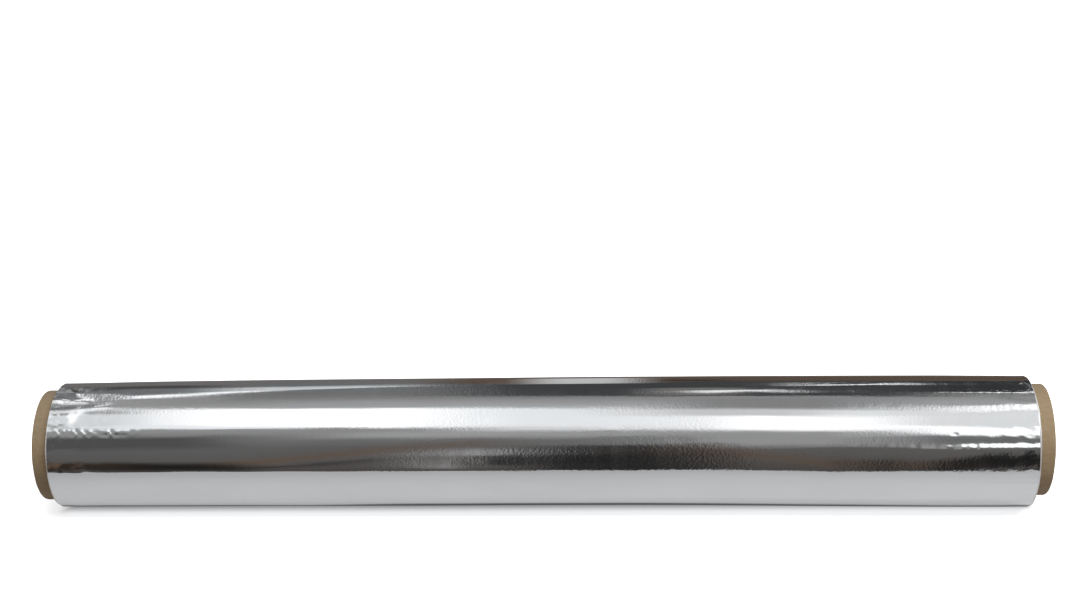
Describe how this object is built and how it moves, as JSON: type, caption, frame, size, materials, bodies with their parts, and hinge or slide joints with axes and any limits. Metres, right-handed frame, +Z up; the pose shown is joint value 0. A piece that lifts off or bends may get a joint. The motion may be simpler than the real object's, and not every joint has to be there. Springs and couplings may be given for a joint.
{
  "type": "aluminium foil roll",
  "caption": "Household roll of aluminium foil wound on a spiral paper core that sticks out at both ends, lying on its side.",
  "frame": {"origin": "on the surface that the roll lies on, under the middle of the roll", "axes": "+X along the roll, +Y to the back, +Z up"},
  "size_m": [0.3158, 0.0408, 0.0404],
  "materials": {
    "foil": "gloss",
    "core_paper": "matte"
  },
  "bodies": {
    "root": {"core_tube": "core_paper", "foil_winding": "foil"}
  },
  "joints": []
}
